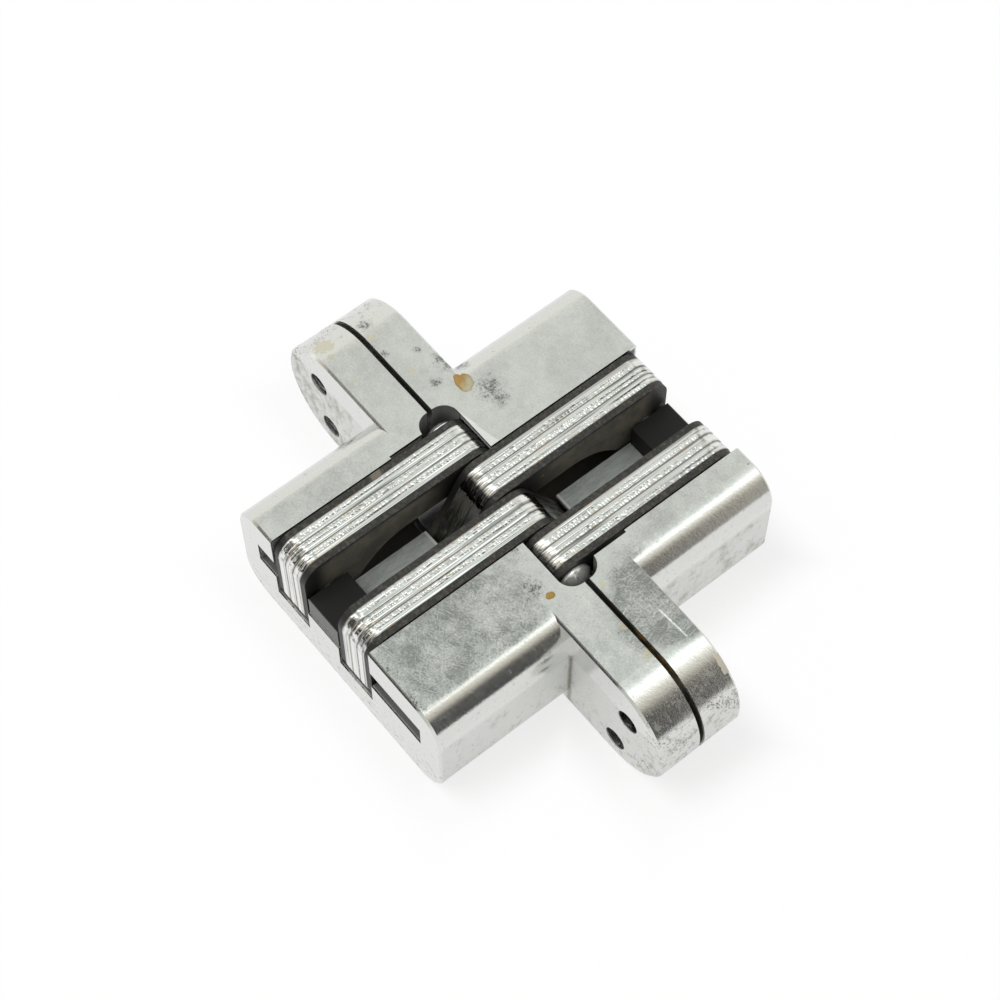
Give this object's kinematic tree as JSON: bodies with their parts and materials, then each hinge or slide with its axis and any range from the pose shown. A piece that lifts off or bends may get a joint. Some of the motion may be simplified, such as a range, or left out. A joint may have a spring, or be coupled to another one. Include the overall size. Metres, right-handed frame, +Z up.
{
  "type": "concealed door hinge",
  "caption": "Closed concealed door hinge: cast leaves with half-round ears and deep bodies, joined by crossed laminated links on a centre pin.",
  "frame": {"origin": "middle of the closed hinge, on the surface that its front (knuckle) side lies on", "axes": "+X from leaf A across the joint to leaf B, +Y along the leaves, +Z up to the rear sides"},
  "size_m": [0.0836, 0.1174, 0.0286],
  "materials": {
    "leaf_casting": "satin plated die casting, scratched and tarnished",
    "link_steel": "bright plated stamped steel",
    "plated_steel": "turned steel, oiled",
    "black_plastic": "matte black, dusty"
  },
  "bodies": {
    "leaf_a": {"leaf_a": "leaf_casting", "fixed_pin_a": "plated_steel"},
    "links_b": {"link1_side_plate_1_b": "black_plastic", "link1_side_plate_2_b": "black_plastic", "link1_lamination_1_b": "link_steel", "link1_lamination_2_b": "link_steel", "link1_lamination_3_b": "link_steel", "link2_side_plate_1_b": "black_plastic", "link2_side_plate_2_b": "black_plastic", "link2_lamination_1_b": "link_steel", "link2_lamination_2_b": "link_steel", "link2_lamination_3_b": "link_steel", "slide_pin_b": "plated_steel", "centre_pin": "plated_steel"},
    "links_a": {"link1_side_plate_1_a": "black_plastic", "link1_side_plate_2_a": "black_plastic", "link1_lamination_1_a": "link_steel", "link1_lamination_2_a": "link_steel", "link1_lamination_3_a": "link_steel", "link2_side_plate_1_a": "black_plastic", "link2_side_plate_2_a": "black_plastic", "link2_lamination_1_a": "link_steel", "link2_lamination_2_a": "link_steel", "link2_lamination_3_a": "link_steel", "slide_pin_a": "plated_steel"},
    "leaf_b": {"leaf_b": "leaf_casting", "fixed_pin_b": "plated_steel"},
    "slide_block_a": {"slide_block_a": "black_plastic"},
    "slide_block_b": {"slide_block_b": "black_plastic"}
  },
  "joints": [
    {"name": "links_b_on_leaf_a", "type": "hinge", "parent": "leaf_a", "child": "links_b", "pos_m": [-0.0116, 0, 0.00475], "axis": [0, 1, 0], "range_deg": [0, 110.16]},
    {"name": "links_a_on_links_b", "type": "hinge", "parent": "links_b", "child": "links_a", "pos_m": [0, 0, 0.0235], "axis": [0, 1, 0], "range_deg": [-40.33, 0]},
    {"name": "leaf_b_on_links_a", "type": "hinge", "parent": "links_a", "child": "leaf_b", "pos_m": [0.0116, 0, 0.00475], "axis": [0, 1, 0], "range_deg": [0, 110.16]},
    {"name": "block_a_on_slide_pin", "type": "hinge", "parent": "links_a", "child": "slide_block_a", "pos_m": [-0.03625, 0, 0.0172], "axis": [0, 1, 0], "range_deg": [-69.85, 0]},
    {"name": "block_b_on_slide_pin", "type": "hinge", "parent": "links_b", "child": "slide_block_b", "pos_m": [0.03625, 0, 0.0172], "axis": [0, 1, 0], "range_deg": [0, 69.85]}
  ],
  "couplings": [
    {"joint": "links_a_on_links_b", "follows": "links_b_on_leaf_a", "ratio": -0.36601},
    {"joint": "leaf_b_on_links_a", "follows": "links_b_on_leaf_a", "ratio": 1},
    {"joint": "block_a_on_slide_pin", "follows": "links_b_on_leaf_a", "ratio": -0.63399},
    {"joint": "block_b_on_slide_pin", "follows": "links_b_on_leaf_a", "ratio": 0.63399}
  ]
}
